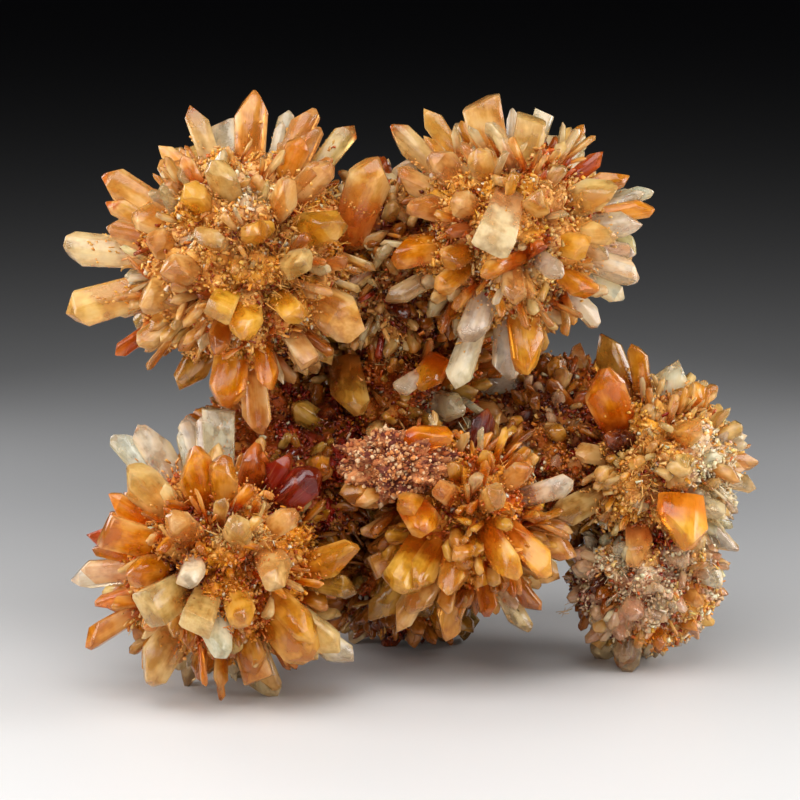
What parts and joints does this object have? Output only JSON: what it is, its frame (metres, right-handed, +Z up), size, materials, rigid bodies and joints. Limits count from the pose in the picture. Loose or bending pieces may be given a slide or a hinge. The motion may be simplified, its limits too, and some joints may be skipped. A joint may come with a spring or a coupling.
{
  "type": "creedite crystal cluster",
  "caption": "Cluster of amber creedite rosettes, each a ball of radiating prismatic crystals, grown together round a crumb of iron oxide; stands as a display mineral specimen.",
  "frame": {"origin": "on the surface that the specimen stands on, under the middle of its box", "axes": "+Z up; +X to the right and -Y towards the viewer as it is seen from its show side"},
  "size_m": [0.1007, 0.0684, 0.0842],
  "materials": {
    "creedite": "glassy translucent crystal, honey to orange, iron-stained",
    "iron_oxide": "dull crumbly rust brown"
  },
  "bodies": {
    "root": {"creedite_crystals": "creedite", "iron_oxide_matrix": "iron_oxide"}
  },
  "joints": []
}
